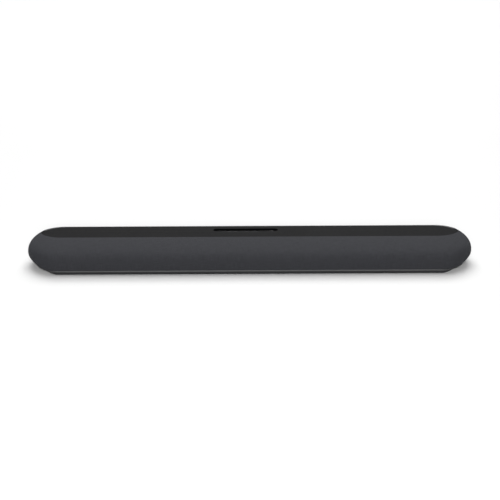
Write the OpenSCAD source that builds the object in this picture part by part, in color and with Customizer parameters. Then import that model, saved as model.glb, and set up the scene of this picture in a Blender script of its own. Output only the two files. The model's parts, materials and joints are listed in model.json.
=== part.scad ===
// A long, slim soundbar that lies on a shelf or under a television.
// X runs along the bar, the front faces -Y, Z is up, and the feet stand on Z = 0.
// The origin is the middle of the footprint, on the surface that it stands on.

/* [Overall size] */
// Length of the bar from tip to tip
bar_l = 890; // [884:1:900]
// Depth of the bar from front to back
bar_d = 131; // [130:0.5:134]
// Height of the bar with its feet
bar_h = 53; // [52.5:0.5:55]
// Height of the level where the bar is widest
wide_z = 26.5; // [26:0.5:28]
// Height of the gap that the feet leave under the floor
foot_h = 1.5; // [1.5:0.1:2]

/* [Body shape] */
// Half length of the straight middle, where the round ends begin
straight_x = 380; // [378:1:382]
// Exponent of the round ends seen from above, where 2 is a true ellipse
end_n = 1.8; // [1.75:0.05:2.1]
// Distance behind the middle of the seam between cloth and top cover
seam_y = 6.6; // [5:0.2:8]
// Exponent of the front curve above the widest level
front_p = 3.0; // [2.6:0.1:3.1]
// How far each end draws in at the top
end_top_in = 22; // [20:1:24]
// Exponent of each end's curve above the widest level
end_p = 2.37; // [2.2:0.01:2.6]
// How far the front draws in at the floor
front_low_in = 4; // [3:0.5:5]
// Exponent of the front curve below the widest level
low_p = 1.8; // [1.6:0.1:2]
// How far each end draws in at the floor
end_low_in = 41; // [39:1:42]
// Exponent of each end's curve below the widest level
end_low_p = 1.84; // [1.7:0.01:2]

/* [Shells] */
// Thickness of the stretched cloth
cloth_t = 0.8; // [0.6:0.1:0.9]
// Thickness of the perforated frame under the cloth
frame_t = 2.0; // [1.8:0.1:2.1]
// Thickness of the top cover
top_t = 3.0; // [2.8:0.1:3]
// Thickness of the floor plate
floor_t = 2.5; // [2.3:0.1:2.5]
// Thickness of the rear panel
rear_t = 2.5; // [2.3:0.1:2.5]
// Height of the joint between the lower frame and its trim
trim_z = 7.9; // [7.7:0.1:8.1]
// Height of the lower edge of the cloth
cloth_z = 10.2; // [10.0:0.1:10.4]
// Number of window columns in the grille frame
win_n = 30; // [24:1:34]

/* [Control strip] */
// Length of the gloss touch strip
strip_l = 131; // [120:1:134]
// Width of the gloss touch strip
strip_w = 14; // [12:0.5:15]
// Place of the strip's middle along the bar
strip_x = -8; // [-12:1:12]
// Distance of the strip's middle behind the bar's middle
strip_y = 43.5; // [42:0.5:46]
// Depth of the pocket that holds the strip
strip_t = 1.2; // [1:0.1:1.4]

/* [Drivers] */
// Distance of each outer woofer from the middle
woofer_x_out = 300; // [295:1:305]
// Distance of each inner woofer from the middle
woofer_x_in = 240; // [235:1:245]
// Distance of each tweeter from the middle
tweeter_x = 350; // [348:1:352]
// Height of all the driver axes
driver_z = 24.2; // [24:0.1:24.5]
// Position of the baffle's front face
baffle_y = -44; // [-44.5:0.1:-43.5]
// Radius of the woofer cone
cone_r = 12.4; // [12:0.1:12.6]
// Radius of the tweeter dome
dome_r = 10; // [9.8:0.1:10]

/* [Fittings] */
// Radius of each rubber foot
foot_r = 8; // [7:0.5:9]
// Distance of the wall bracket inserts from the middle
insert_x = 320; // [318:1:322]
// Radius of the hole in each wall bracket insert
insert_r = 2; // [1.9:0.05:2.1]
// Distance of each bass port from the middle
port_x = 180; // [176:1:184]
// Inner radius of each bass port
port_r = 11; // [10.5:0.5:11]

/* [Hidden] */
$fn = 48;

floor_z = foot_h + floor_t;          // inside face of the floor
roof_z = bar_h - top_t;              // inside face of the top cover
rear_in = bar_d / 2 - rear_t;        // inside face of the rear panel
side_x = 376;                        // inner face of each end wall
wall_x = 113;                        // inner face of each chamber wall
mid_yd = baffle_y - 0.6;             // mounting plane of the drivers, gasket included
woofers = [-woofer_x_out, -woofer_x_in, woofer_x_in, woofer_x_out];
tweeters = [-tweeter_x, tweeter_x];
feet = [[-330, -38], [330, -38], [-330, 45], [330, 45], [0, -45], [0, 50]];
posts = [[-394, 20], [394, 20], [-330, 25], [330, 25], [-220, 45], [220, 45],
    [-130, 42], [130, 42]];
jack_z = 14;                         // top face of the boards
main_standoffs = [[6, -24], [98, -24], [6, 38], [100, 24]];
power_standoffs = [[-98, -24], [-20, -24], [-98, 38], [-20, 38]];

// ---- the outside surface -------------------------------------------------

function sup(t, p) = 1 - pow(max(0, 1 - pow(max(0, min(1, t)), p)), 1 / p);
function up_t(z) = (z - wide_z) / (bar_h - wide_z);
function low_t(z) = (wide_z - z) / (wide_z - foot_h);
function front_y(z) = z >= wide_z
    ? -bar_d / 2 + (seam_y + bar_d / 2) * sup(up_t(z), front_p)
    : -bar_d / 2 + front_low_in * sup(low_t(z), low_p);
function end_x(z) = z >= wide_z
    ? bar_l / 2 - end_top_in * sup(up_t(z), end_p)
    : bar_l / 2 - end_low_in * sup(low_t(z), end_low_p);
function mid_y(z) = (front_y(z) + bar_d / 2) / 2;
function spow(a, p) = sign(a) * pow(abs(a), p);

// A station is [start x, end it belongs to (-1, 0 or 1), angle]. An angle of
// -90 is the front, 0 the tip and 90 the back.
function surf(s, z) = [
    s[0] + s[1] * (end_x(z) - straight_x) * spow(cos(s[2]), 2 / end_n),
    mid_y(z) + (bar_d / 2 - mid_y(z)) * spow(sin(s[2]), 2 / end_n), z];
function turn(s, z) = s[1] == 0
    ? [s[2] < 0 ? 1 : -1, 0, 0]
    : s[1] * (surf([s[0], s[1], min(90, s[2] + 2)], z)
        - surf([s[0], s[1], max(-90, s[2] - 2)], z));
function clampz(z) = max(foot_h + 0.35, min(bar_h - 0.35, z));
function rise(s, z) = surf(s, clampz(z) + 0.3) - surf(s, clampz(z) - 0.3);
function unit(v) = v / norm(v);
function out_n(s, z) = let (v = cross(turn(s, z), rise(s, z)))
    unit([v[0], v[1], z >= wide_z ? max(0, v[2]) : min(0, v[2])]);
function skin(s, z, d) = let (p = surf(s, z) + d * out_n(s, z)) [p[0], min(p[1], bar_d / 2), p[2]];

right_end = [for (a = [-90:10:90]) [straight_x, 1, a]];
left_end = [for (a = [90:-10:-90]) [-straight_x, -1, a]];
loop = concat(right_end, left_end);                    // all round, from the front right
wrap = concat([for (a = [90:-10:-90]) [-straight_x, -1, a]],
    right_end);                                        // round the front, from the back left
fine_loop = concat([for (a = [-90:5:90]) [straight_x, 1, a]],
    [for (a = [90:-5:-90]) [-straight_x, -1, a]]);

// Outline of a flat plate at height z that stands inside a wall of thickness w.
function plate_outline(z, w, gap) = [for (s = fine_loop)
    let (p = surf(s, z), m = out_n(s, z), h = norm([m[0], m[1]]))
    [p[0] - w * m[0] - gap * m[0] / max(h, 0.01),
        p[1] - w * m[1] - gap * m[1] / max(h, 0.01)]];

// A closed ring of cells: each level is [z, outward offset] on the outside and
// the inside.
module ring_shell(stations, outer, inner) {
    n = len(stations);
    m = len(outer);
    pts = concat(
        [for (l = outer) for (s = stations) skin(s, l[0], l[1])],
        [for (l = inner) for (s = stations) skin(s, l[0], l[1])]);
    o = function (j, i) j * n + (i % n);
    k = function (j, i) (m + j) * n + (i % n);
    polyhedron(pts, concat(
        [for (j = [0:m - 2]) for (i = [0:n - 1]) [o(j, i), o(j + 1, i), o(j + 1, i + 1), o(j, i + 1)]],
        [for (j = [0:m - 2]) for (i = [0:n - 1]) [k(j, i), k(j, i + 1), k(j + 1, i + 1), k(j + 1, i)]],
        [for (i = [0:n - 1]) [o(0, i), o(0, i + 1), k(0, i + 1), k(0, i)]],
        [for (i = [0:n - 1]) [o(m - 1, i), k(m - 1, i), k(m - 1, i + 1), o(m - 1, i + 1)]]),
        convexity = 8);
}

// An open shell of cells between offsets a and b, with windows where open(i, j) holds.
module cell_shell(stations, levels, a, b, open) {
    n = len(stations);
    m = len(levels);
    pts = concat(
        [for (z = levels) for (s = stations) skin(s, z, a)],
        [for (z = levels) for (s = stations) skin(s, z, b)]);
    o = function (j, i) j * n + i;
    k = function (j, i) (m + j) * n + i;
    solid = function (i, j) i >= 0 && i < n - 1 && j >= 0 && j < m - 1 && !open(i, j);
    polyhedron(pts, concat(
        [for (j = [0:m - 2]) for (i = [0:n - 2]) if (solid(i, j)) [o(j, i), o(j + 1, i), o(j + 1, i + 1), o(j, i + 1)]],
        [for (j = [0:m - 2]) for (i = [0:n - 2]) if (solid(i, j)) [k(j, i), k(j, i + 1), k(j + 1, i + 1), k(j + 1, i)]],
        [for (j = [0:m - 2]) for (i = [0:n - 2]) if (solid(i, j) && !solid(i, j - 1)) [o(j, i), o(j, i + 1), k(j, i + 1), k(j, i)]],
        [for (j = [0:m - 2]) for (i = [0:n - 2]) if (solid(i, j) && !solid(i, j + 1)) [o(j + 1, i + 1), o(j + 1, i), k(j + 1, i), k(j + 1, i + 1)]],
        [for (j = [0:m - 2]) for (i = [0:n - 2]) if (solid(i, j) && !solid(i - 1, j)) [o(j + 1, i), o(j, i), k(j, i), k(j + 1, i)]],
        [for (j = [0:m - 2]) for (i = [0:n - 2]) if (solid(i, j) && !solid(i + 1, j)) [o(j, i + 1), o(j + 1, i + 1), k(j + 1, i + 1), k(j, i + 1)]]),
        convexity = 12);
}

// ---- shared shapes --------------------------------------------------------

module pill(l, w) {
    square([l - w, w], center = true);
    for (s = [-1, 1]) translate([s * (l - w) / 2, 0]) circle(d = w);
}

module round_square(w, r) {
    square([w, w - 2 * r], center = true);
    square([w - 2 * r, w], center = true);
    for (x = [-1, 1], y = [-1, 1]) translate([x * (w / 2 - r), y * (w / 2 - r)]) circle(r);
}

module tube(h, r1, r2) {
    linear_extrude(h) difference() {
        circle(r2);
        circle(r1);
    }
}

// Stands a driver on the baffle: local +Z is the way the sound leaves.
module at_driver(x) {
    translate([x, mid_yd, driver_z]) rotate([90, 0, 0]) children();
}

module screw(head_r, head_h, shank_r, l) {
    cylinder(r = head_r, h = head_h);
    translate([0, 0, -l]) cylinder(r = shank_r, h = l + 0.01);
}

// A tube swept along a route of points, with 8 sides.
function bend_pt(r, i, u) = let (a = r[max(0, i - 1)], b = r[i], c = r[i + 1], d = r[min(len(r) - 1, i + 2)])
    0.5 * (2 * b + (c - a) * u + (2 * a - 5 * b + 4 * c - d) * u * u + (3 * b - a - 3 * c + d) * u * u * u);
function smooth(r, k) = concat([for (i = [0:len(r) - 2]) for (j = [0:k - 1]) bend_pt(r, i, j / k)], [r[len(r) - 1]]);
module wire(route, r, k = 2) {
    p = smooth(route, k);
    n = len(p);
    t = [for (i = [0:n - 1]) unit(p[min(n - 1, i + 1)] - p[max(0, i - 1)])];
    side = [for (v = t) unit(cross(v, abs(v[2]) > 0.9 ? [0, 1, 0] : [0, 0, 1]))];
    pts = [for (i = [0:n - 1]) for (a = [0:45:315]) p[i] + r * (cos(a) * side[i] + sin(a) * cross(side[i], t[i]))];
    polyhedron(pts, concat(
        [[for (q = [7:-1:0]) q]],
        [for (i = [0:n - 2]) for (q = [0:7]) [i * 8 + q, i * 8 + (q + 1) % 8, (i + 1) * 8 + (q + 1) % 8, (i + 1) * 8 + q]],
        [[for (q = [0:7]) (n - 1) * 8 + q]]), convexity = 6);
}

// ---- casing ---------------------------------------------------------------

module top_cover() {
    color([0.17, 0.17, 0.175]) difference() {
        union() {
            translate([0, 0, bar_h - 1.2]) linear_extrude(1.2) polygon(plate_outline(bar_h, cloth_t + frame_t + 1.3, 0.25));
            translate([0, 0, roof_z]) linear_extrude(top_t - 1) polygon(plate_outline(bar_h, cloth_t + frame_t + 2.4, 0.25));
        }
        translate([strip_x, strip_y, bar_h - strip_t]) linear_extrude(strip_t + 1) pill(strip_l + 0.3, strip_w + 0.3);
        // ribbon slot under the touch strip
        translate([strip_x - 12, strip_y - 3, roof_z - 1]) cube([24, 6, top_t + 2]);
    }
}

module control_strip() {
    color([0.01, 0.01, 0.012]) translate([strip_x, strip_y, bar_h - strip_t]) linear_extrude(strip_t + 0.15) pill(strip_l, strip_w);
}

// Height of the point of the front curve at angle v above the widest level.
function curve_z(v) = wide_z + (bar_h - wide_z) * pow(sin(v), 2 / front_p);
cloth_levels = concat([cloth_z, 13, 17.5, 22, wide_z],
    [for (v = [6, 14, 21, 29, 38, 47, 55, 62, 68, 74, 79, 83, 86, 88.3, 90]) curve_z(v)]);
module grille_cloth() {
    color([0.27, 0.27, 0.29]) cell_shell(wrap, cloth_levels, 0, -cloth_t, function (i, j) false);
}

frame_levels = concat([cloth_z, 13, 22, wide_z], [for (v = [14, 21, 47, 55, 68, 79, 86, 90]) curve_z(v)]);
frame_rows = [1, 3, 5];
win_w = 2 * straight_x / win_n;
frame_wrap = concat([for (a = [90:-10:-90]) [-straight_x, -1, a]],
    [for (c = [0:win_n - 1]) for (e = [0.14, 0.86]) [-straight_x + win_w * (c + e), 0, -90]],
    right_end);
module grille_frame() {
    n = len(right_end);
    color([0.12, 0.12, 0.13]) cell_shell(frame_wrap, frame_levels, -cloth_t - 0.4, -cloth_t - 0.4 - frame_t,
        function (i, j) len(search(j, frame_rows)) > 0 && i >= n && i < n + 2 * win_n && (i - n) % 2 == 0);
}

module lower_trim() {
    color([0.25, 0.25, 0.26]) ring_shell(loop,
        [[trim_z, 0.5], [trim_z + 0.7, 0.5], [cloth_z - 0.15, -0.7]],
        [[trim_z, -2.3], [trim_z + 0.7, -2.3], [cloth_z - 0.15, -2.3]]);
}

module lower_frame() {
    z = [foot_h, foot_h + 0.4, foot_h + 1.4, foot_h + 3, trim_z - 0.05];
    color([0.14, 0.14, 0.145]) ring_shell(loop, [for (q = z) [q, 0]], [for (q = z) [q, -2.3]]);
}

module bottom_cover() {
    color([0.12, 0.12, 0.125]) difference() {
        translate([0, 0, foot_h]) linear_extrude(floor_t) polygon(plate_outline(foot_h, 2.3, 0.25));
        for (p = posts) {
            translate([p[0], p[1], foot_h - 1]) cylinder(r = 1.7, h = floor_t + 2);
            translate([p[0], p[1], foot_h - 1]) cylinder(r = 3.1, h = 2.3);
        }
        for (p = feet) translate([p[0], p[1], foot_h - 1]) cylinder(r = foot_r + 0.1, h = 1.5);
        // cooling slots under the boards
        for (x = [-90:9:-27], y = [-8]) translate([x, y, foot_h - 1]) linear_extrude(floor_t + 2) rotate(90) pill(30, 3);
        for (x = [24:9:87], y = [-8]) translate([x, y, foot_h - 1]) linear_extrude(floor_t + 2) rotate(90) pill(30, 3);
    }
}

module rear_panel() {
    color([0.13, 0.13, 0.135]) difference() {
        translate([-straight_x + 0.4, rear_in, cloth_z]) cube([2 * straight_x - 0.8, rear_t, bar_h - cloth_z]);
        translate([-106.2, rear_in - 1, 10.9]) cube([212.4, rear_t + 2, 23.2]);
        for (s = [-1, 1]) {
            translate([s * port_x, rear_in - 1, 30]) rotate([-90, 0, 0]) cylinder(r = port_r + 3.6, h = rear_t + 2);
            translate([s * insert_x, rear_in - 1, 30]) rotate([-90, 0, 0]) cylinder(r = 3.05, h = rear_t + 2);
        }
        // cooling slots above the sockets
        for (x = [-92:8:92]) translate([x, rear_in - 1, 42.5]) rotate([-90, 0, 0]) linear_extrude(rear_t + 2) rotate(90) pill(9, 3);
    }
}

// Section of the baffle: a flat front that bends back under the grille frame.
bend_levels = [for (v = [58, 65, 71, 76, 80, 83.5, 86, 88, 89.3]) wide_z + (bar_h - wide_z) * pow(sin(v), 2 / front_p)];
function inset_pt(z, d) = let (p = skin([0, 0, -90], z, -d)) [p[1], p[2]];
function bend_line(d, y0) = [for (z = bend_levels) let (p = inset_pt(z, d)) if (p[0] > y0 + 0.5) p];
function corner_z(d, y0) = lookup(y0, [for (z = concat([wide_z, 30, 34, 38, 41], bend_levels)) let (p = inset_pt(z, d)) p]);
baffle_out = concat([[baffle_y, floor_z + 0.2], [baffle_y, corner_z(3.6, baffle_y)]], bend_line(3.6, baffle_y), [[16, bar_h - 3.6]]);
baffle_in = concat([[16, bar_h - 5.6]], [for (i = [len(bend_line(5.6, baffle_y + 2.2)) - 1:-1:0]) bend_line(5.6, baffle_y + 2.2)[i]],
    [[baffle_y + 2.2, corner_z(5.6, baffle_y + 2.2)], [baffle_y + 2.2, floor_z + 0.2]]);
module along_x(x0, l) {
    translate([x0, 0, 0]) rotate([90, 0, 90]) linear_extrude(l) children();
}

module front_baffle() {
    color([0.1, 0.1, 0.1]) difference() {
        along_x(-side_x + 0.2, 2 * side_x - 0.4) polygon(concat(baffle_out, baffle_in));
        for (x = woofers) translate([x, baffle_y + 4, driver_z]) rotate([90, 0, 0]) {
            cylinder(r = 17, h = 8);
            for (u = [-1, 1], v = [-1, 1]) translate([16.4 * u, 16.4 * v, 0]) cylinder(r = 1.05, h = 8);
        }
        for (x = tweeters) translate([x, baffle_y + 4, driver_z]) rotate([90, 0, 0]) {
            cylinder(r = 14, h = 8);
            for (u = [-1, 1], v = [-1, 1]) translate([13.2 * u, 13.2 * v, 0]) cylinder(r = 1.05, h = 8);
        }
        // ribbon slot behind the light board
        translate([16, baffle_y - 2, 20]) cube([14, 6, 5]);
    }
}

wall_shape = concat([[rear_in - 0.2, floor_z + 0.2], [rear_in - 0.2, roof_z - 0.15], [16.6, roof_z - 0.15], [16.6, bar_h - 5.9]],
    [for (i = [len(bend_line(5.9, baffle_y + 2.6)) - 1:-1:0]) bend_line(5.9, baffle_y + 2.6)[i]],
    [[baffle_y + 2.5, corner_z(5.9, baffle_y + 2.5)], [baffle_y + 2.5, floor_z + 0.2]]);
module chamber_walls() {
    color([0.11, 0.11, 0.11]) for (s = [-1, 1]) difference() {
        along_x(s * wall_x - (s < 0 ? 2.5 : 0), 2.5) polygon(wall_shape);
        translate([s * wall_x - 5, 20, 8]) rotate([0, 90, 0]) cylinder(r = 1.9, h = 10);
    }
}

end_shape = concat([[rear_in - 0.2, floor_z + 0.2], [rear_in - 0.2, roof_z - 0.15], [16, roof_z - 0.15], [16, bar_h - 3.8]],
    [for (i = [len(bend_line(3.8, baffle_y)) - 1:-1:0]) bend_line(3.8, baffle_y)[i]],
    [[baffle_y, corner_z(3.8, baffle_y)], [baffle_y, floor_z + 0.2]]);
module end_walls() {
    color([0.11, 0.11, 0.11]) for (s = [-1, 1]) along_x(s * side_x - (s < 0 ? 2.5 : 0), 2.5) polygon(end_shape);
}

module case_posts() {
    color([0.11, 0.11, 0.11]) for (p = posts) translate([p[0], p[1], floor_z + 0.05]) difference() {
        cylinder(r = 3.6, h = roof_z - floor_z - 0.1);
        translate([0, 0, -1]) cylinder(r = 1.45, h = 13);
    }
}

module rubber_feet() {
    color([0.05, 0.05, 0.05]) for (p = feet) translate([p[0], p[1], 0]) rotate_extrude()
        polygon([[0, 0], [foot_r - 1, 0], [foot_r, 1], [foot_r, foot_h + 0.45], [0, foot_h + 0.45]]);
}

module bass_ports() {
    l = 38;
    color([0.08, 0.08, 0.08]) for (s = [-1, 1]) translate([s * port_x, bar_d / 2 - l, 30]) rotate([-90, 0, 0]) rotate_extrude()
        polygon(concat(
            [for (a = [0:15:90]) [port_r + 2.2 * (1 - sin(a)), 2.2 * (1 - cos(a))]],
            [for (a = [0:15:90]) [port_r + 2.2 * (1 - cos(a)), l - 6 + 6 * sin(a)]],
            [[port_r + 3.3, l], [port_r + 3.3, l - rear_t - 0.2], [port_r + 6, l - rear_t - 0.2],
                [port_r + 6, l - rear_t - 2.2], [port_r + 1.7, l - rear_t - 2.2], [port_r + 1.7, 5], [port_r + 3, 1.2]]));
}

// Tub that sets the sockets back from the rear panel.
module jack_tub() {
    color([0.1, 0.1, 0.1]) difference() {
        translate([-106, 46, 11.1]) cube([212, bar_d / 2 - 46, 22.8]);
        translate([-104, 48, 13.1]) cube([208, 30, 18.8]);
        translate([-86.2, 40, 15.3]) cube([22.4, 12, 12.4]);
        for (x = [18, 42]) translate([x - 7.8, 40, 13.9]) cube([15.6, 12, 7.4]);
        translate([61 - 5.4, 40, 13.9]) cube([10.8, 12, 11.1]);
        translate([76, 40, 19]) rotate([-90, 0, 0]) cylinder(r = 4.2, h = 12);
        translate([92 - 7.2, 40, 13.9]) cube([14.4, 12, 7.9]);
    }
}

module wall_inserts() {
    color([0.7, 0.55, 0.25]) for (s = [-1, 1]) translate([s * insert_x, rear_in - 6, 30]) rotate([-90, 0, 0]) {
        difference() {
            union() {
                cylinder(r = 4.2, h = 5.8);
                cylinder(r = 3, h = 6 + rear_t);
            }
            translate([0, 0, 1.5]) cylinder(r = insert_r, h = 10);
        }
    }
}

// ---- fasteners --------------------------------------------------------------

module case_screws() {
    color([0.35, 0.35, 0.36]) for (p = posts) translate([p[0], p[1], foot_h + 1.2]) mirror([0, 0, 1]) difference() {
        screw(2.8, 1.1, 1.4, 10);
        translate([0, 0, 0.5]) cube([0.7, 3, 2], center = true);
        translate([0, 0, 0.5]) cube([3, 0.7, 2], center = true);
    }
}

module driver_screws() {
    color([0.2, 0.2, 0.2]) {
        for (x = woofers) at_driver(x) for (u = [-1, 1], v = [-1, 1]) translate([16.4 * u, 16.4 * v, 1.5]) screw(1.9, 1, 1, 6);
        for (x = tweeters) at_driver(x) for (u = [-1, 1], v = [-1, 1]) translate([13.2 * u, 13.2 * v, 1.5]) screw(1.9, 1, 1, 6);
    }
}

module board_standoffs() {
    color([0.5, 0.5, 0.48]) for (p = concat(main_standoffs, power_standoffs)) translate([p[0], p[1], floor_z + 0.05])
        tube(jack_z - 1.6 - floor_z - 0.1, 1.3, 2.8);
}

module board_screws() {
    color([0.75, 0.75, 0.75]) for (p = concat(main_standoffs, power_standoffs)) translate([p[0], p[1], jack_z + 0.05]) screw(2.5, 1.3, 1.25, 6);
}

// ---- electronics ------------------------------------------------------------

module main_board() {
    color([0.05, 0.3, 0.15]) difference() {
        translate([1, -29, jack_z - 1.6]) cube([104, 73, 1.6]);
        for (p = main_standoffs) translate([p[0], p[1], 0]) cylinder(r = 1.6, h = 30);
    }
}

module amplifier_chips() {
    color([0.08, 0.08, 0.08]) {
        translate([20, -18, jack_z + 0.05]) cube([14, 14, 1.5]);
        translate([44, -20, jack_z + 0.05]) cube([10, 10, 1.2]);
        translate([66, -20, jack_z + 0.05]) cube([12, 12, 1.4]);
        translate([24, 16, jack_z + 0.05]) cube([9, 6, 1.2]);
        translate([48, 14, jack_z + 0.05]) cube([12, 8, 1.2]);
    }
}

module heat_sink() {
    color([0.7, 0.7, 0.72]) translate([18, -20, jack_z + 1.65]) {
        cube([62, 18, 2.5]);
        for (i = [0:7]) translate([i * (62 - 1.6) / 7, 0, 2.4]) cube([1.6, 18, 13]);
    }
}

module wireless_module() {
    color([0.6, 0.6, 0.62]) translate([78, 4, jack_z + 0.05]) {
        cube([16, 22, 0.8]);
        translate([1.5, 1.5, 0.8]) cube([13, 14, 1.6]);
    }
}

module power_board() {
    color([0.35, 0.3, 0.12]) difference() {
        translate([-105, -29, jack_z - 1.6]) cube([92, 73, 1.6]);
        for (p = power_standoffs) translate([p[0], p[1], 0]) cylinder(r = 1.6, h = 30);
    }
}

module power_transformer() {
    color([0.75, 0.65, 0.2]) translate([-68, -14, jack_z + 0.05]) difference() {
        union() {
            cube([24, 26, 20]);
            translate([-3, 5, 3]) cube([30, 16, 14]);
        }
        translate([-4, -1, 21]) cube([40, 40, 4]);
    }
}

module power_capacitors() {
    color([0.1, 0.12, 0.3]) {
        translate([-90, -14, jack_z + 9.2]) rotate([-90, 0, 0]) cylinder(r = 9, h = 28);
        for (y = [-20, -8, 4]) translate([-30, y, jack_z + 0.05]) cylinder(r = 5, h = 16);
    }
}

module ac_inlet() {
    color([0.06, 0.06, 0.06]) translate([-75, 0, 21.5]) {
        rotate([-90, 0, 0]) translate([0, 0, 30]) linear_extrude(19) difference() {
            square([22, 12], center = true);
            pill(17.2, 8.6);
        }
        translate([-11, 29, -6]) cube([22, 10, 12]);
        for (x = [-4.3, 4.3]) translate([x, 38, 0]) rotate([-90, 0, 0]) cylinder(r = 1.2, h = 9);
    }
    color([0.06, 0.06, 0.06]) translate([-84, 29.5, jack_z + 0.05]) cube([18, 9, 2]);
}

module socket_shell(w, h, l, t, tongue_z) {
    difference() {
        translate([-w / 2, 0, 0]) cube([w, l, h]);
        translate([-w / 2 + t, 1.2, t]) cube([w - 2 * t, l, h - 2 * t]);
    }
    translate([-w / 2 + 2, 0.6, tongue_z]) cube([w - 4, l - 2, 0.9]);
}

module hdmi_sockets() {
    color([0.7, 0.7, 0.72]) for (x = [18, 42]) translate([x, 36.5, jack_z + 0.05]) socket_shell(15.2, 7, 12, 0.6, 4);
}

module optical_socket() {
    color([0.08, 0.08, 0.08]) difference() {
        translate([61 - 5, 35, jack_z + 0.05]) cube([10, 13.5, 10.5]);
        translate([61 - 2.6, 40, jack_z + 2.5]) cube([5.2, 12, 5.2]);
    }
}

module aux_socket() {
    color([0.08, 0.08, 0.08]) difference() {
        union() {
            translate([76 - 4.5, 32, jack_z + 0.05]) cube([9, 13.8, 9.5]);
            translate([76, 45, 19]) rotate([-90, 0, 0]) cylinder(r = 3.9, h = 3.5);
        }
        translate([76, 34.5, 19]) rotate([-90, 0, 0]) cylinder(r = 1.8, h = 20);
    }
}

module usb_socket() {
    color([0.7, 0.7, 0.72]) translate([92, 35, jack_z + 0.05]) socket_shell(13.6, 7.2, 13.5, 0.5, 3.6);
}

module touch_board() {
    color([0.05, 0.25, 0.15]) translate([strip_x, strip_y, roof_z - 2.2]) linear_extrude(1.6) difference() {
        pill(strip_l - 4, strip_w - 1);
        square([24, 4], center = true);
    }
}

module led_board() {
    color([0.05, 0.25, 0.15]) difference() {
        translate([-4, baffle_y - 1.9, 15]) cube([54, 1.6, 15]);
        translate([17, baffle_y - 3, 21]) cube([12, 4, 3]);
    }
}

module status_leds() {
    color([0.9, 0.9, 0.85]) for (x = [0:5:15]) translate([x, baffle_y - 1.95, 22.5]) rotate([90, 0, 0]) {
        translate([-1.5, -1.5, 0]) cube([3, 3, 1.2]);
        translate([0, 0, 1.1]) cylinder(r = 1.1, h = 0.8);
    }
}

module infrared_receiver() {
    color([0.05, 0.03, 0.05]) translate([40, baffle_y - 1.95, 22.5]) rotate([90, 0, 0]) {
        translate([-3, -3.5, 0]) cube([6, 7, 2.5]);
        translate([0, 0, 2.4]) rotate_extrude() polygon([for (a = [0:15:90]) [2.6 * cos(a), 2 * sin(a)], [0, 0]]);
    }
}

// ---- woofers: local Z = 0 is the mounting plane, sound leaves along +Z --------

module woofer_baskets() {
    color([0.16, 0.16, 0.17]) for (x = woofers) at_driver(x) difference() {
        union() {
            linear_extrude(1.4) difference() {
                round_square(38.6, 4);
                circle(15.7);
            }
            translate([0, 0, -10.4]) tube(10.5, 15.7, 16.6);
            translate([0, 0, -10.4]) tube(1.4, 8.6, 16.6);
            translate([0, 0, -8.4]) tube(0.9, 14.6, 15.8);
        }
        for (u = [-1, 1], v = [-1, 1]) translate([16.4 * u, 16.4 * v, -1]) cylinder(r = 1.2, h = 4);
        // windows in the wall
        for (a = [0:60:300]) rotate(a) translate([10, -3.5, -7.2]) cube([10, 7, 5]);
    }
}

module woofer_gaskets() {
    color([0.12, 0.12, 0.12]) for (x = woofers) at_driver(x) translate([0, 0, -0.55]) linear_extrude(0.5) difference() {
        round_square(38.6, 4);
        circle(17.2);
        for (u = [-1, 1], v = [-1, 1]) translate([16.4 * u, 16.4 * v]) circle(1.2);
    }
}

module woofer_top_plates() {
    color([0.6, 0.6, 0.62]) for (x = woofers) at_driver(x) translate([0, 0, -12.45]) tube(2, 8.3, 14.5);
}

module woofer_magnets() {
    color([0.2, 0.2, 0.2]) for (x = woofers) at_driver(x) translate([0, 0, -18.5]) tube(6, 9.5, 15.5);
}

module woofer_yokes() {
    color([0.6, 0.6, 0.62]) for (x = woofers) at_driver(x) {
        translate([0, 0, -21.05]) cylinder(r = 14.5, h = 2.5);
        translate([0, 0, -18.6]) cylinder(r = 6.6, h = 8.1);
    }
}

module woofer_surrounds() {
    color([0.05, 0.05, 0.05]) for (x = woofers) at_driver(x) translate([0, 0, 1.45]) rotate_extrude()
        polygon(concat(
            [for (a = [180:-20:20]) [14.5 + 1.7 * cos(a), 1.7 * sin(a)]],
            [[16.4, 0.4], [17.6, 0.4], [17.6, 0], [15.9, 0]],
            [for (a = [20:20:160]) [14.5 + 1.3 * cos(a), 1.3 * sin(a)]],
            [[13.2, 0]]));
}

module woofer_spiders() {
    color([0.75, 0.6, 0.35]) for (x = woofers) at_driver(x) translate([0, 0, -7.45]) rotate_extrude()
        polygon(concat(
            [for (i = [0:14]) [8.2 + i * 0.5, 0.35 * sin(i * 90)]],
            [for (i = [14:-1:0]) [8.2 + i * 0.5, 0.35 * sin(i * 90) + 0.3]]));
}

module woofer_cone(x) {
    color([0.22, 0.22, 0.23]) at_driver(x) rotate_extrude()
        polygon(concat(
            [[cone_r, 1.6], [cone_r, 1.1], [7.4, -3.9], [7.4, -13.9], [7.1, -13.9], [7.1, -3.4]],
            [for (a = [20:-4:0]) [7.1 * sin(a * 4.3) / sin(86), -3.4 + 2.2 * (cos(a * 4.3) - cos(86)) / (1 - cos(86))]],
            [for (a = [0:4:20]) [7.3 * sin(a * 4.3) / sin(86), -3.0 + 2.3 * (cos(a * 4.3) - cos(86)) / (1 - cos(86))]]));
}

module woofer_coil(x) {
    color([0.75, 0.4, 0.2]) at_driver(x) translate([0, 0, -13.9]) tube(5, 7.42, 7.75);
}

// ---- tweeters -----------------------------------------------------------------

module tweeter_faceplates() {
    color([0.1, 0.1, 0.1]) for (x = tweeters) at_driver(x) difference() {
        linear_extrude(1.4) round_square(31.5, 4);
        translate([0, 0, -1]) cylinder(r = 10.7, h = 4);
        translate([0, 0, 0.6]) cylinder(r1 = 10.7, r2 = 12.2, h = 0.9);
        for (u = [-1, 1], v = [-1, 1]) translate([13.2 * u, 13.2 * v, -1]) cylinder(r = 1.2, h = 4);
    }
}

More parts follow.
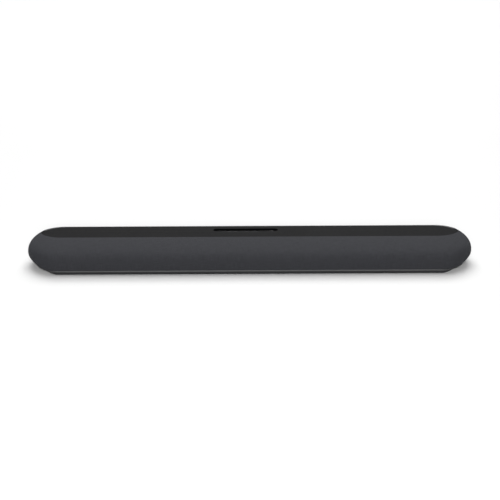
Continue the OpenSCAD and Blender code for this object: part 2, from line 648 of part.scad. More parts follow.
module tweeter_cups() {
    color([0.6, 0.6, 0.62]) for (x = tweeters) at_driver(x) {
        translate([0, 0, -10.5]) cylinder(r = 13.5, h = 2.05);
        translate([0, 0, -8.5]) tube(8.45, 10.8, 13.5);
    }
}

module tweeter_magnets() {
    color([0.75, 0.75, 0.77]) for (x = tweeters) at_driver(x) translate([0, 0, -8.4]) cylinder(r = 8.6, h = 4.9);
}

module tweeter_pole_discs() {
    color([0.6, 0.6, 0.62]) for (x = tweeters) at_driver(x) translate([0, 0, -3.45]) cylinder(r = 9.1, h = 2);
}

module tweeter_dome(x) {
    r = dome_r;
    color([0.55, 0.5, 0.4]) at_driver(x) {
        rotate_extrude() polygon(concat(
            [[r, 0], [r, -5], [r - 0.3, -5], [r - 0.3, -0.1]],
            [for (a = [75:-15:0]) [(r - 0.3) * sin(a), -0.1 + 3 * cos(a)]],
            [for (a = [0:15:75]) [r * sin(a), 3.3 * cos(a)]]));
        translate([0, 0, -5]) tube(2.4, r + 0.02, r + 0.3);
    }
}

// ---- wiring --------------------------------------------------------------------

module speaker_wires() {
    color([0.5, 0.1, 0.1]) {
        // from the board through each chamber wall to the inner woofer
        wire([[96, 10, jack_z + 2], [104, 13, jack_z + 2.4], [108.6, 17, 14], [109.8, 19.5, 10], [112.5, 20, 8], [118, 20, 8],
            [145, 20, 6], [175, 6, 6], [205, -4, 6], [214, -16, 8], [218.5, -28, 14], [222.4, -36, driver_z]], 0.9);
        wire([[8, -27, jack_z + 2], [2, -33, 13], [-8, -35, 9], [-50, -35, 8], [-95, -34, 8], [-107, -22, 8], [-109, 6, 8], [-112.5, 19.6, 8], [-118, 20.4, 8],
            [-145, 20, 6], [-175, 6, 6], [-205, -4, 6], [-214, -16, 8], [-218.5, -28, 14], [-222.4, -36, driver_z]], 0.9);
        for (s = [-1, 1]) {
            // on to the outer woofer, and to the tweeter
            wire([[s * 257.6, -36, driver_z], [s * 262, -28, 14], [s * 270, -16, 7], [s * 278, -28, 14], [s * 282.4, -36, driver_z]], 0.9);
            wire([[s * 317.6, -36, driver_z], [s * 322, -28, 14], [s * 328, -18, 7], [s * 332, -28, 14], [s * 335.3, -36.5, driver_z]], 0.9);
        }
    }
}

module ribbon_cable() {
    color([0.85, 0.85, 0.82]) {
        // touch board to main board
        translate([strip_x + 9, strip_y - 1.5, 36]) cube([0.4, 3, roof_z - 36 - 2.4]);
        translate([strip_x + 9, strip_y - 1.5, 35.6]) cube([22, 3, 0.4]);
        translate([strip_x + 30.6, strip_y - 30, 35.6]) cube([0.4, 28.5, 3]);
    }
}

top_cover();
control_strip();
grille_cloth();
grille_frame();
lower_trim();
lower_frame();
bottom_cover();
rear_panel();
front_baffle();
chamber_walls();
end_walls();
case_posts();
rubber_feet();
bass_ports();
jack_tub();
wall_inserts();
case_screws();
driver_screws();
board_standoffs();
board_screws();
main_board();
amplifier_chips();
heat_sink();
wireless_module();
power_board();
power_transformer();
power_capacitors();
ac_inlet();
hdmi_sockets();
optical_socket();
aux_socket();
usb_socket();
touch_board();
led_board();
status_leds();
infrared_receiver();
woofer_baskets();
woofer_gaskets();
woofer_top_plates();
woofer_magnets();
woofer_yokes();
woofer_surrounds();
woofer_spiders();
woofer_cone(-woofer_x_out);  // woofer_cone_left_outer
woofer_cone(-woofer_x_in);  // woofer_cone_left_inner
woofer_cone(woofer_x_in);  // woofer_cone_right_inner
woofer_cone(woofer_x_out);  // woofer_cone_right_outer
woofer_coil(-woofer_x_out);  // woofer_coil_left_outer
woofer_coil(-woofer_x_in);  // woofer_coil_left_inner
woofer_coil(woofer_x_in);  // woofer_coil_right_inner
woofer_coil(woofer_x_out);  // woofer_coil_right_outer
tweeter_faceplates();
tweeter_cups();
tweeter_magnets();
tweeter_pole_discs();
tweeter_dome(-tweeter_x);  // tweeter_dome_left
tweeter_dome(tweeter_x);  // tweeter_dome_right
speaker_wires();
ribbon_cable();
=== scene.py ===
import bpy, json, math
import numpy as np
from mathutils import Matrix, Vector


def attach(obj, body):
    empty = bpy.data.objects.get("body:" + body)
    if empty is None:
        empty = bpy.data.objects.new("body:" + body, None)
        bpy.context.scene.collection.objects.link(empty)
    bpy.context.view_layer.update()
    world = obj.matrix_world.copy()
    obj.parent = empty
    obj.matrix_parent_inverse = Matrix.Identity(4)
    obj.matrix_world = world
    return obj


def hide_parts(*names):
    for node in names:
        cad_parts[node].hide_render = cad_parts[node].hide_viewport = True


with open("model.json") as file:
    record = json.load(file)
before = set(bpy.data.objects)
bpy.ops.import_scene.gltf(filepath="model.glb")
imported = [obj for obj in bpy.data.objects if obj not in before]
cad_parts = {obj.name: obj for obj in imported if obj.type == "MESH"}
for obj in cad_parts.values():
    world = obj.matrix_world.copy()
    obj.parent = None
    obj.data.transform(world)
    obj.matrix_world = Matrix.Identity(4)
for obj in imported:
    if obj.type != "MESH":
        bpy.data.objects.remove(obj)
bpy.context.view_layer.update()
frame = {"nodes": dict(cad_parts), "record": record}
nodes = frame["nodes"]
scene = bpy.context.scene

# ---------------------------------------------------------------- the outside surface, in mm
L, D, H = 890.0, 131.0, 53.0
WZ, FOOT = 26.5, 1.5
XC, END_N = 380.0, 1.8
SEAM_Y, FRONT_P = 6.6, 3.0
END_TOP, END_P = 22.0, 2.37
LOW_IN, LOW_P = 4.0, 1.8
END_LOW, END_LOW_P = 41.0, 1.84
CLOTH_Z, TRIM_Z, CLOTH_T, FRAME_T = 10.2, 7.9, 0.8, 2.0
LIP_MORE = 0.9
STRIP_L, STRIP_W, STRIP_X, STRIP_Y, STRIP_T = 131.0, 14.0, -8.0, 43.5, 1.2


def sup(t, p):
    t = np.clip(t, 0, 1)
    return 1 - np.maximum(0, 1 - t ** p) ** (1 / p)


def front_y(z):
    return np.where(z >= WZ, -D / 2 + (SEAM_Y + D / 2) * sup((z - WZ) / (H - WZ), FRONT_P),
                    -D / 2 + LOW_IN * sup((WZ - z) / (WZ - FOOT), LOW_P))


def end_x(z):
    return np.where(z >= WZ, L / 2 - END_TOP * sup((z - WZ) / (H - WZ), END_P),
                    L / 2 - END_LOW * sup((WZ - z) / (WZ - FOOT), END_LOW_P))


def spow(a, p):
    return np.sign(a) * np.abs(a) ** p


def surf(st, z):
    """Point of the outside at station (x0, end, angle) and height z."""
    x0, e, a = st[..., 0], st[..., 1], np.radians(st[..., 2])
    z = np.asarray(z, float)
    c, s = np.round(np.cos(a), 12), np.round(np.sin(a), 12)
    my = (front_y(z) + D / 2) / 2
    x = x0 + e * (end_x(z) - XC) * spow(c, 2 / END_N)
    y = my + (D / 2 - my) * spow(s, 2 / END_N)
    return np.stack(np.broadcast_arrays(x, y, z), -1)


def out_normal(st, z):
    z = np.broadcast_to(np.asarray(z, float), st.shape[:-1])
    a, b = st.copy(), st.copy()
    a[..., 2] = np.maximum(-90, a[..., 2] - 2)
    b[..., 2] = np.minimum(90, b[..., 2] + 2)
    turn = (surf(b, z) - surf(a, z)) * st[..., 1:2]
    straight = st[..., 1] == 0
    turn[straight] = np.stack([np.where(st[..., 2] < 0, 1.0, -1.0)[straight], np.zeros(straight.sum()), np.zeros(straight.sum())], -1)
    zc = np.clip(z, FOOT + 0.35, H - 0.35)
    rise = surf(st, zc + 0.3) - surf(st, zc - 0.3)
    n = np.cross(turn, rise)
    n[..., 2] = np.where(z >= WZ, np.maximum(0, n[..., 2]), np.minimum(0, n[..., 2]))
    return n / np.linalg.norm(n, axis=-1, keepdims=True)


def skin(st, z, d):
    p = surf(st, z) + np.asarray(d, float)[..., None] * out_normal(st, z)
    p[..., 1] = np.minimum(p[..., 1], D / 2)
    return p


def end_stations(e, step):
    """From the front round the tip to the back."""
    n = int(round(180 / step))
    # at even steps of angle round the end
    return [(e * XC, e, a) for a in np.linspace(-90, 90, n + 1)]


def straight_stations(a, x0, x1, n):
    return [(x, 0, a) for x in np.linspace(x0, x1, n + 1)[1:-1]]


def wrap_stations(step=3, n=76):
    """Round the front, from the back left to the back right."""
    left = end_stations(-1, step)[::-1]
    return np.array(left + straight_stations(-90, -XC, XC, n) + end_stations(1, step), float)


def loop_stations(step=3, n=76):
    """All round, counter-clockwise from the front right."""
    return np.array(end_stations(1, step) + straight_stations(90, XC, -XC, n) + end_stations(-1, step)[::-1]
                    + straight_stations(-90, -XC, XC, n), float)


def even_levels(z0, n):
    """Heights at even steps along the front curve from z0 to the seam."""
    v = np.radians(np.linspace(0, 90, 2000))
    z = np.concatenate([np.linspace(z0, WZ, 200)[:-1], WZ + (H - WZ) * np.sin(v) ** (2 / FRONT_P)])
    y = front_y(z)
    y[-1] = SEAM_Y
    s = np.concatenate([[0], np.cumsum(np.hypot(np.diff(y), np.diff(z)))])
    return np.interp(np.linspace(0, s[-1], n), s, z), s[-1]


# ---------------------------------------------------------------- mesh helpers

def new_object(name, verts_mm, faces, uvs=None, smooth=True, sharp=35):
    mesh = bpy.data.meshes.new(name)
    mesh.from_pydata((np.asarray(verts_mm, float) / 1000).tolist(), [], faces)
    mesh.validate()
    ob = bpy.data.objects.new(name, mesh)
    scene.collection.objects.link(ob)
    if uvs is not None:
        layer = mesh.uv_layers.new(name="weave")
        idx = np.zeros(len(mesh.loops), np.int32)
        mesh.loops.foreach_get("vertex_index", idx)
        layer.data.foreach_set("uv", np.asarray(uvs, np.float32)[idx].ravel())
    if smooth:
        mesh.polygons.foreach_set("use_smooth", [True] * len(mesh.polygons))
        mesh.set_sharp_from_angle(angle=math.radians(sharp))
    mesh.update()
    return ob


def section_loop_shell(name, stations, profile, closed, uv_scale=1.0):
    """Sweeps a closed section of (z, offset) points along the stations. The section runs up the outside, over the top,
    down the inside and back, and its first point is not repeated. A point (z, out, level) belongs to an upright lip:
    it stands out sideways from the outline of that level, a little further round the ends."""
    zs = np.array([p[0] for p in profile], float)
    ds = np.array([p[1] for p in profile], float)
    m, n = len(profile), len(stations)
    st = np.repeat(stations[:, None, :], m, 1)
    pts = skin(st, np.broadcast_to(zs, (n, m)), np.broadcast_to(ds, (n, m)))
    ends = np.abs(stations[:, 1]) * np.cos(np.radians(stations[:, 2]))
    for j, p in enumerate(profile):
        if len(p) == 3:
            q, side = surf(stations, np.full(n, p[2])), out_normal(stations, np.full(n, p[2]))
            side[:, 2] = 0
            side /= np.maximum(np.linalg.norm(side, axis=1, keepdims=True), 1e-9)
            q = q + (p[1] + (LIP_MORE * ends if p[1] > 0 else 0 * ends))[:, None] * side
            q[:, 1] = np.minimum(q[:, 1], D / 2)
            q[:, 2] = p[0]
            pts[:, j] = q
    faces = []
    for i in range(n if closed else n - 1):
        k = (i + 1) % n
        for j in range(m):
            q = (j + 1) % m
            faces.append((i * m + j, k * m + j, k * m + q, i * m + q))
    if not closed:
        half = m // 2
        # flat caps on the two cut ends, as a strip of quads between outside and inside
        for i, flip in ((0, False), (n - 1, True)):
            for j in range(half - 1):
                a, b, c, d = i * m + j, i * m + j + 1, i * m + (m - 2 - j), i * m + (m - 1 - j)
                faces.append((a, b, c, d) if not flip else (d, c, b, a))
    u = np.concatenate([[0], np.cumsum(np.linalg.norm(np.diff(pts[:, 0, :], axis=0), axis=1))])
    v = np.concatenate([[0], np.cumsum(np.linalg.norm(np.diff(pts[n // 2], axis=0), axis=1))])
    uv = np.stack([np.repeat(u[:, None], m, 1), np.repeat(v[None, :], n, 0)], -1).reshape(-1, 2) * uv_scale
    return new_object(name, pts.reshape(-1, 3), faces, uv)


def outline_at(z, w, gap, step=2.0):
    st = np.array(end_stations(1, step) + end_stations(-1, step)[::-1], float)
    p, m = surf(st, z), out_normal(st, np.full(len(st), z))
    h = np.maximum(np.hypot(m[:, 0], m[:, 1]), 0.01)
    q = p[:, :2] - w * m[:, :2] - gap * m[:, :2] / h[:, None]
    return q


def pill_outline(l, w, cx, cy, n=24):
    r = w / 2
    a = np.linspace(-90, 90, n + 1)
    right = [(cx + l / 2 - r + r * math.cos(math.radians(t)), cy + r * math.sin(math.radians(t))) for t in a]
    left = [(cx - l / 2 + r - r * math.cos(math.radians(t)), cy - r * math.sin(math.radians(t))) for t in a]
    return np.array(right + left)


def inset(poly, d):
    """Moves each point of a smooth closed counter-clockwise outline inwards by d."""
    a = np.roll(poly, 1, 0)
    b = np.roll(poly, -1, 0)
    t = b - a
    t /= np.maximum(np.linalg.norm(t, axis=1, keepdims=True), 1e-9)
    n = np.stack([-t[:, 1], t[:, 0]], 1)
    return poly + d * n


# ---------------------------------------------------------------- materials

class Nodes:
    """Short forms for making shader nodes."""

    def __init__(self, material):
        self.t = material.node_tree
        self.t.nodes.clear()
        self.out = self.t.nodes.new("ShaderNodeOutputMaterial")
        self.bsdf = self.t.nodes.new("ShaderNodeBsdfPrincipled")
        self.t.links.new(self.bsdf.outputs[0], self.out.inputs[0])

    def add(self, kind, **values):
        n = self.t.nodes.new(kind)
        for k, v in values.items():
            if hasattr(n, k):
                setattr(n, k, v)
            else:
                n.inputs[k].default_value = v
        return n

    def link(self, a, b):
        self.t.links.new(a, b)

    def math(self, op, a, b=None, clamp=False):
        n = self.t.nodes.new("ShaderNodeMath")
        n.operation, n.use_clamp = op, clamp
        for i, v in enumerate((a, b)):
            if v is None:
                continue
            if isinstance(v, (int, float)):
                n.inputs[i].default_value = v
            else:
                self.link(v, n.inputs[i])
        return n.outputs[0]

    def mix(self, f, a, b):
        """Mixes two colours, or a socket and a colour, by f."""
        n = self.t.nodes.new("ShaderNodeMix")
        n.data_type = "RGBA"
        for s, v in ((n.inputs[0], f), (n.inputs[6], a), (n.inputs[7], b)):
            if isinstance(v, (int, float)):
                s.default_value = v
            elif isinstance(v, (tuple, list)):
                s.default_value = (*v[:3], 1)
            else:
                self.link(v, s)
        return n.outputs[2]

    def noise(self, coord, scale, detail=2.0, rough=0.5, stretch=None):
        if stretch is not None:
            m = self.t.nodes.new("ShaderNodeMapping")
            m.inputs["Scale"].default_value = stretch
            self.link(coord, m.inputs["Vector"])
            coord = m.outputs[0]
        n = self.t.nodes.new("ShaderNodeTexNoise")
        n.inputs["Scale"].default_value = scale
        n.inputs["Detail"].default_value = detail
        n.inputs["Roughness"].default_value = rough
        self.link(coord, n.inputs["Vector"])
        return n.outputs["Fac"]

    def range(self, v, a, b, lo, hi):
        n = self.t.nodes.new("ShaderNodeMapRange")
        self.link(v, n.inputs["Value"])
        for k, x in (("From Min", a), ("From Max", b), ("To Min", lo), ("To Max", hi)):
            n.inputs[k].default_value = x
        return n.outputs["Result"]

    def bump(self, height, distance, strength=1.0, normal=None):
        n = self.t.nodes.new("ShaderNodeBump")
        n.inputs["Distance"].default_value = distance
        n.inputs["Strength"].default_value = strength
        self.link(height, n.inputs["Height"])
        if normal is not None:
            self.link(normal, n.inputs["Normal"])
        return n.outputs[0]

    def set(self, name, value):
        s = self.bsdf.inputs[name]
        if isinstance(value, (int, float)):
            s.default_value = value
        elif isinstance(value, (tuple, list)):
            s.default_value = (*value[:3], 1)
        else:
            self.link(value, s)


def new_material(name):
    m = bpy.data.materials.new(name)
    m.use_nodes = True
    return m, Nodes(m)


def shade(c, k):
    return tuple(min(1, x * k) for x in c[:3])


def moulded(name, colour, rough=0.5, grain=2600, depth=0.00004, tone=0.12, wear=0.1, stretch=None, **sockets):
    """Moulded plastic, rubber, paper or resin: a fine spark-eroded grain, slow colour drift and uneven gloss."""
    m, n = new_material(name)
    co = n.add("ShaderNodeTexCoord").outputs["Object"]
    fine = n.noise(co, grain, 3, 0.6, stretch)
    slow = n.noise(co, 14, 2, 0.5)
    mid = n.noise(co, 180, 2, 0.5)
    f = n.math("ADD", n.range(slow, 0.3, 0.7, 0, 0.5), n.range(fine, 0.3, 0.7, 0, 0.5), clamp=True)
    n.set("Base Color", n.mix(f, shade(colour, 1 - tone), shade(colour, 1 + tone)))
    n.set("Roughness", n.range(mid, 0.25, 0.75, max(0.02, rough - wear * 0.5), min(1, rough + wear * 0.5)))
    n.set("Normal", n.bump(fine, depth))
    for k, v in sockets.items():
        n.set(k.replace("_", " "), v)
    return m


def metal(name, colour, rough=0.3, grain=900, depth=0.00001, stretch=(1, 1, 1), tone=0.1):
    """Plated, brushed or cast metal."""
    m, n = new_material(name)
    co = n.add("ShaderNodeTexCoord").outputs["Object"]
    fine = n.noise(co, grain, 4, 0.65, stretch)
    slow = n.noise(co, 60, 2, 0.5)
    n.set("Metallic", 1.0)
    n.set("Base Color", n.mix(slow, shade(colour, 1 - tone), shade(colour, 1 + tone)))
    n.set("Roughness", n.range(fine, 0.3, 0.7, max(0.04, rough - 0.08), rough + 0.1))
    n.set("Normal", n.bump(fine, depth))
    return m


def woven(name, colour, pitch=0.62, uv=True, melange=0.25, depth=0.00012, sheen=0.02, spec=0.1):
    """Plain weave. With uv the coordinates are the cloth's own, in mm: u along the bar and v across it. Without, the
    cloth faces the front, and the threads run along X and Z."""
    m, n = new_material(name)
    if uv:
        src = n.add("ShaderNodeUVMap", uv_map="weave").outputs[0]
        k = 1.0
    else:
        src = n.add("ShaderNodeTexCoord").outputs["Object"]
        k = 1000.0
    sep = n.add("ShaderNodeSeparateXYZ")
    n.link(src, sep.inputs[0])
    # threads wander a little, as spun yarn does
    wob = n.noise(src, 0.35 * k, 2, 0.5)
    wv = n.math("MULTIPLY", n.math("SUBTRACT", wob, 0.5), 0.35 / k)
    across = sep.outputs[1 if uv else 2]
    u = n.math("MULTIPLY", n.math("ADD", sep.outputs[0], wv), math.pi * k / pitch)
    v = n.math("MULTIPLY", n.math("SUBTRACT", across, wv), math.pi * k / pitch)
    su, sv = n.math("SINE", u), n.math("SINE", v)
    au, av = n.math("ABSOLUTE", su), n.math("ABSOLUTE", sv)
    over = n.math("GREATER_THAN", n.math("MULTIPLY", su, sv), 0.0)
    warp = n.math("MULTIPLY", au, n.math("ADD", n.math("MULTIPLY", av, 0.45), 0.55))
    weft = n.math("MULTIPLY", av, n.math("ADD", n.math("MULTIPLY", au, 0.45), 0.55))
    height = n.math("ADD", n.math("MULTIPLY", over, warp), n.math("MULTIPLY", n.math("SUBTRACT", 1.0, over), weft))
    # each yarn has its own tone
    along_u = n.noise(src, 0.9 * k, 1, 0.5, (0.06, 1.6, 1) if uv else (0.06, 1, 1.6))
    along_v = n.noise(src, 0.9 * k, 1, 0.5, (1.6, 0.06, 1) if uv else (1.6, 1, 0.06))
    yarn = n.math("ADD", n.math("MULTIPLY", over, along_v), n.math("MULTIPLY", n.math("SUBTRACT", 1.0, over), along_u))
    fuzz = n.noise(src, 5.0 * k, 3, 0.7)
    tone = n.math("ADD", n.range(yarn, 0.3, 0.7, -melange, melange), n.range(fuzz, 0.3, 0.7, -melange * 0.5, melange * 0.5))
    # painted shade and highlight: the base colour follows the weave height, darker where the threads dip and lighter on
    # their crowns
    light = n.math("MULTIPLY", n.range(height, 0.0, 1.0, 0.55, 1.18), n.math("ADD", tone, 1.0))
    n.set("Base Color", n.mix(n.math("MULTIPLY", light, 0.5), (0, 0, 0), shade(colour, 2.0)))
    n.set("Roughness", n.range(fuzz, 0.2, 0.8, 0.82, 0.98))
    n.set("Sheen Weight", sheen)
    n.set("Sheen Roughness", 0.45)
    n.set("Sheen Tint", (0.75, 0.78, 0.85))
    n.set("Specular IOR Level", spec)
    n.set("Normal", n.bump(n.math("ADD", height, n.math("MULTIPLY", fuzz, 0.25)), depth))
    return m


M = {
    "cloth": woven("grille_weave", (0.0217, 0.0222, 0.0252)),
    "top": moulded("top_matt_plastic", (0.0085, 0.0085, 0.0088), 0.85, 2200, 0.00005, 0.1, 0.08, Specular_IOR_Level=0.05),
    "gloss": moulded("gloss_black_plastic", (0.0012, 0.0012, 0.0014), 0.06, 500, 0.0000004, 0.1, 0.03, Specular_IOR_Level=0.3),
    # painted highlight: the trim is the base's dark plastic given about twice its colour, for the light line along the
    # lip, whose shape also catches real light
    "trim": moulded("trim_plastic_painted_highlight", (0.0215, 0.0220, 0.0228), 0.5, 2600, 0.00003, 0.1, 0.1),
    "base": moulded("base_matt_plastic", (0.0112, 0.0118, 0.0123), 0.65, 1800, 0.00006, 0.12, 0.1, Specular_IOR_Level=0.25),
    "frame": moulded("frame_plastic", (0.014, 0.014, 0.0145), 0.6, 1800, 0.00005),
    "inner": moulded("inner_plastic", (0.012, 0.012, 0.0122), 0.55, 1500, 0.00006, 0.15, 0.15),
    "socket": moulded("socket_plastic", (0.010, 0.010, 0.0105), 0.42, 2400, 0.00003, 0.12, 0.12),
    "rubber": moulded("black_rubber", (0.010, 0.010, 0.010), 0.8, 3200, 0.00008, 0.2, 0.12, Specular_IOR_Level=0.3),
    "foam": moulded("closed_cell_foam", (0.018, 0.018, 0.019), 0.95, 1400, 0.0002, 0.3, 0.05, Specular_IOR_Level=0.15),
    "pcb": moulded("green_solder_mask", (0.008, 0.075, 0.030), 0.28, 700, 0.00003, 0.2, 0.12, Coat_Weight=0.3),
    "chip": moulded("chip_resin", (0.012, 0.012, 0.012), 0.5, 3000, 0.00003),
    "tape": moulded("transformer_tape", (0.55, 0.36, 0.03), 0.3, 300, 0.00003, 0.12, 0.15, (1, 1, 8)),
    "sleeve": moulded("shrink_sleeve", (0.008, 0.012, 0.05), 0.22, 500, 0.00001, 0.15, 0.08),
    "cone": moulded("coated_pulp", (0.024, 0.024, 0.026), 0.75, 1100, 0.00015, 0.3, 0.12, Specular_IOR_Level=0.3),
    "wire": moulded("red_wire_sleeve", (0.28, 0.014, 0.012), 0.4, 900, 0.00002, 0.1, 0.1),
    "ribbon": moulded("flat_cable", (0.55, 0.55, 0.5), 0.35, 900, 0.00002, 0.06, 0.1, (6, 1, 1)),
    "led": moulded("clear_led_resin", (0.75, 0.75, 0.7), 0.12, 400, 0.000005, 0.05, 0.04, Coat_Weight=0.5),
    "infrared": moulded("infrared_lens_resin", (0.012, 0.003, 0.008), 0.1, 400, 0.000003, 0.1, 0.04, Coat_Weight=0.5),
    "ferrite": moulded("ferrite", (0.035, 0.035, 0.037), 0.45, 2000, 0.00006, 0.2, 0.2),
    "spider": woven("spider_cotton", (0.40, 0.26, 0.10), 0.5, False, 0.2, 0.0001, 0.0),
    "silk": woven("dome_silk", (0.20, 0.16, 0.10), 0.25, False, 0.15, 0.00004, 0.1),
    "steel": metal("zinc_steel", (0.42, 0.42, 0.43), 0.3, 900, 0.00001),
    "iron": metal("plated_iron", (0.52, 0.52, 0.54), 0.32, 700, 0.00001),
    "nickel": metal("nickel", (0.66, 0.64, 0.60), 0.2, 600, 0.000006, (1, 6, 1)),
    "brass": metal("brass", (0.72, 0.50, 0.18), 0.28, 900, 0.00001),
    "copper": metal("enamelled_copper", (0.72, 0.30, 0.13), 0.3, 1600, 0.00004, (1, 12, 1)),
    "aluminium": metal("extruded_aluminium", (0.78, 0.78, 0.80), 0.32, 800, 0.00001, (1, 8, 1)),
    "tin": metal("tinned_shield", (0.62, 0.62, 0.61), 0.35, 300, 0.00001),
}

SLOT_MATERIAL = {
    "top_plastic": "top", "gloss_black": "gloss", "cloth": "cloth", "frame_plastic": "frame", "trim_plastic": "trim",
    "base_plastic": "base", "inner_plastic": "inner", "black_rubber": "rubber", "foam": "foam", "screw_steel": "steel",
    "soft_iron": "iron", "ferrite": "ferrite", "neodymium": "nickel", "brass": "brass", "copper": "copper",
    "circuit_board": "pcb", "chip_resin": "chip", "aluminium": "aluminium", "shield_tin": "tin",
    "transformer_tape": "tape", "capacitor_sleeve": "sleeve", "socket_plastic": "socket", "socket_metal": "nickel",
    "led_lens": "led", "infrared_lens": "infrared", "cone_paper": "cone", "spider_cloth": "spider", "dome_silk": "silk",
    "wire_sleeve": "wire", "ribbon": "ribbon",
}
node_slot = {s["node"]: s["material_slot"] for s in frame["record"]["subparts"]}
for name, ob in nodes.items():
    ob.data.materials.clear()
    ob.data.materials.append(M[SLOT_MATERIAL[node_slot[name]]])


def piece(ob, material, body="root", replaces=()):
    ob.data.materials.clear()
    ob.data.materials.append(M[material])
    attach(ob, body)
    if replaces:
        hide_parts(*replaces)
    return ob


# ---------------------------------------------------------------- grille cloth: one stretched sheet round the front and both ends

levels, cloth_run = even_levels(CLOTH_Z + 0.35, 46)
outer = [(z, 0.0) for z in levels[:-1]]
profile = ([(CLOTH_Z + 0.08, -0.12)] + outer + [(H, -0.05), (H, -0.3), (H, -0.8)]
           + [(z, -0.8) for z in levels[::-1][1:]] + [(CLOTH_Z + 0.08, -0.7), (CLOTH_Z, -0.4)])
if len(profile) % 2:
    profile.insert(0, (CLOTH_Z, -0.25))
stations = wrap_stations(3, 76)
cloth = section_loop_shell("stretched_grille_cloth", stations, profile, False)
piece(cloth, "cloth", replaces=("grille_cloth",))


# ---------------------------------------------------------------- lower trim and lower frame

lip_z = TRIM_Z + 1.05
trim_profile = [(TRIM_Z, -0.6), (TRIM_Z, 0.30, lip_z), (TRIM_Z + 0.07, 0.42, lip_z), (TRIM_Z + 0.22, 0.5, lip_z), (TRIM_Z + 0.6, 0.52, lip_z),
                (TRIM_Z + 0.85, 0.5, lip_z), (TRIM_Z + 1.0, 0.4, lip_z), (lip_z + 0.03, 0.22, lip_z),
                (CLOTH_Z - 0.5, -0.42), (CLOTH_Z - 0.25, -0.62), (CLOTH_Z - 0.15, -0.9), (CLOTH_Z - 0.15, -2.3), (lip_z, -2.3), (TRIM_Z, -2.3)]
trim = section_loop_shell("lower_trim_band", loop_stations(3, 76), trim_profile, True)
piece(trim, "trim", replaces=("lower_trim",))

frame_z = [FOOT + 0.05, FOOT + 0.3, FOOT + 0.8, FOOT + 1.5, FOOT + 2.5, FOOT + 3.7, TRIM_Z - 0.3, TRIM_Z - 0.08]
frame_profile = ([(FOOT, -0.2)] + [(z, 0.0) for z in frame_z] + [(TRIM_Z - 0.05, -0.15), (TRIM_Z - 0.05, -2.3)]
                 + [(z, -2.3) for z in frame_z[::-1][1:]] + [(FOOT, -2.3)])
lower = section_loop_shell("lower_frame_shell", loop_stations(3, 76), frame_profile, True)
piece(lower, "base", replaces=("lower_frame",))


# ---------------------------------------------------------------- top cover with its pocket, and the gloss strip

def flat_fill(loops):
    """Triangles of a flat region bounded by the loops of (index, (x, y))."""
    from mathutils.geometry import tessellate_polygon
    flat = [[Vector((x, y, 0)) for _, (x, y) in l] for l in loops]
    index = [i for l in loops for i, _ in l]
    return [tuple(index[i] for i in t) for t in tessellate_polygon(flat)]


def top_plate():
    out = outline_at(H, CLOTH_T + FRAME_T + 1.3, 0.25, 2.5)
    # drop repeated points where the outline meets the straight back
    keep = [0] + [i for i in range(1, len(out)) if np.linalg.norm(out[i] - out[i - 1]) > 0.02]
    out = out[keep]
    hole = pill_outline(STRIP_L + 0.3, STRIP_W + 0.3, STRIP_X, STRIP_Y)
    verts, faces = [], []

    def ring(poly, z):
        s = len(verts)
        verts.extend((float(x), float(y), z) for x, y in poly)
        return list(range(s, s + len(poly)))

    def bridge(a, b):
        n = len(a)
        for k in range(n):
            q = (k + 1) % n
            faces.append((a[k], a[q], b[q], b[k]))

    def fill(up, *loops):
        for t in flat_fill([[(i, verts[i][:2]) for i in l] for l in loops]):
            p = [Vector(verts[i]) for i in t]
            n = (p[1] - p[0]).cross(p[2] - p[0]).z
            faces.append(t if (n > 0) == up else t[::-1])

    e, lip, z0 = 0.5, 0.2, H - 3.0
    r = [ring(out, z0)] + [ring(inset(out, e * (1 - math.cos(a))), H - e + e * math.sin(a)) for a in np.radians([0, 22.5, 45, 67.5, 90])]
    for a, b in zip(r, r[1:]):
        bridge(a, b)
    h = [ring(inset(hole, -lip * (1 - math.sin(a))), H - lip + lip * math.cos(a)) for a in np.radians([0, 30, 60, 90])]
    h.append(ring(hole, H - STRIP_T))
    for a, b in zip(h, h[1:]):
        bridge(a, b)
    fill(True, r[-1], h[0])
    fill(True, h[-1])
    fill(False, r[0])
    return new_object("top_plate", verts, faces, sharp=30)


def pill_solid(name, l, w, cx, cy, z0, z1, r=0.4, crown=0.0):
    out = pill_outline(l, w, cx, cy)
    verts, faces = [], []

    def ring(poly, z):
        s = len(verts)
        verts.extend((float(x), float(y), z) for x, y in poly)
        return list(range(s, s + len(poly)))

    rings = [ring(out, z0)] + [ring(inset(out, r * (1 - math.cos(a))), z1 - r + r * math.sin(a)) for a in np.radians([0, 22.5, 45, 67.5, 90])]
    for a, b in zip(rings, rings[1:]):
        n = len(a)
        for k in range(n):
            q = (k + 1) % n
            faces.append((a[k], a[q], b[q], b[k]))
    for l, up in ((rings[-1], True), (rings[0], False)):
        for t in flat_fill([[(i, verts[i][:2]) for i in l]]):
            p = [Vector(verts[i]) for i in t]
            n = (p[1] - p[0]).cross(p[2] - p[0]).z
            faces.append(t if (n > 0) == up else t[::-1])
    return new_object(name, verts, faces, sharp=30)


piece(top_plate(), "top", replaces=("top_cover",))
strip = pill_solid("touch_strip", STRIP_L, STRIP_W, STRIP_X, STRIP_Y, H - STRIP_T + 0.02, H + 0.15, 0.12)
piece(strip, "gloss", replaces=("control_strip",))

# the way round the outline at the widest height
round_way = float(np.linalg.norm(np.diff(surf(stations, WZ), axis=0), axis=1).sum())


# ---------------------------------------------------------------- floor, light and camera

def plane(name, size, z):
    mesh = bpy.data.meshes.new(name)
    s = size / 2
    mesh.from_pydata([(-s, -s, z), (s, -s, z), (s, s, z), (-s, s, z)], [], [(0, 1, 2, 3)])
    ob = bpy.data.objects.new(name, mesh)
    scene.collection.objects.link(ob)
    return ob


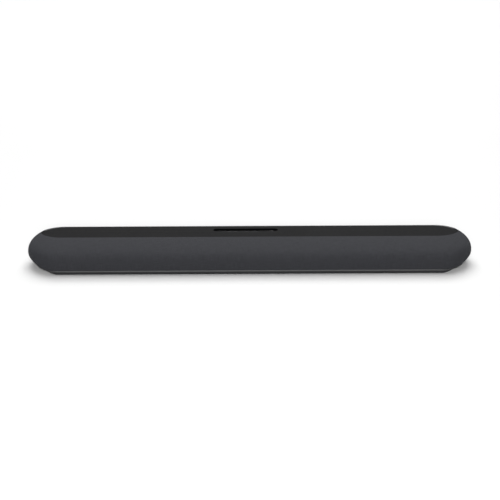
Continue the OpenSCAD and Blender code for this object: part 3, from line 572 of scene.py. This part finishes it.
floor = plane("floor", 24, 0.0)
fm, fn = new_material("white_floor")
fco = fn.add("ShaderNodeTexCoord").outputs["Object"]
fn.set("Base Color", fn.mix(fn.noise(fco, 3, 2), (0.455, 0.455, 0.455), (0.465, 0.465, 0.465)))
fn.set("Roughness", 0.9)
fn.set("Specular IOR Level", 0.0)
floor.data.materials.append(fm)

world = bpy.data.worlds.new("studio")
scene.world = world
world.use_nodes = True
world.node_tree.nodes["Background"].inputs[0].default_value = (1, 1, 1, 1)
world.node_tree.nodes["Background"].inputs[1].default_value = 0.0


def softbox(name, at, to, w, h, watts):
    data = bpy.data.lights.new(name, "AREA")
    data.shape, data.size, data.size_y, data.energy = "RECTANGLE", w, h, watts
    ob = bpy.data.objects.new(name, data)
    scene.collection.objects.link(ob)
    ob.location = at
    ob.rotation_euler = (Vector(to) - Vector(at)).to_track_quat("-Z", "Y").to_euler()
    return ob


softbox("softbox_ceiling", (0, 1.6, 5.0), (0, 1.6, 0), 5.0, 5.0, 425)
softbox("softbox_back", (0, 5.5, 5.5), (0, 2.0, 0), 6.0, 3.0, 445)
softbox("softbox_front", (0, -4.0, 1.8), (0, 0, 0), 1.4, 1.2, 290)


def make_camera():
    e, dist, roll = math.radians(22.75), 2.5, math.radians(0.28)
    data = bpy.data.cameras.new("view")
    data.sensor_width = 36.0
    data.lens = 36.0 * dist / 1.0058
    data.clip_start, data.clip_end = 0.05, 60
    data.dof.use_dof = False
    cam = bpy.data.objects.new("view", data)
    scene.collection.objects.link(cam)
    f = Vector((0, math.cos(e), -math.sin(e)))
    r0, u0 = Vector((1, 0, 0)), Vector((0, math.sin(e), math.cos(e)))
    r = r0 * math.cos(roll) - u0 * math.sin(roll)
    u = u0 * math.cos(roll) + r0 * math.sin(roll)
    target = Vector((0.0, 0.0, 0.0265)) + r0 * CAM_DX + u0 * CAM_DY
    at = target - f * dist
    m = Matrix.Identity(4)
    for i in range(3):
        m[i][0], m[i][1], m[i][2], m[i][3] = r[i], u[i], -f[i], at[i]
    cam.matrix_world = m
    scene.camera = cam


CAM_DX, CAM_DY = 0.0006, 0.0002
make_camera()

scene.view_settings.view_transform = "Standard"
scene.view_settings.look = "None"
scene.view_settings.exposure = 0.0
scene.view_settings.gamma = 1.0

# ---------------------------------------------------------------- the end
bpy.context.view_layer.update()
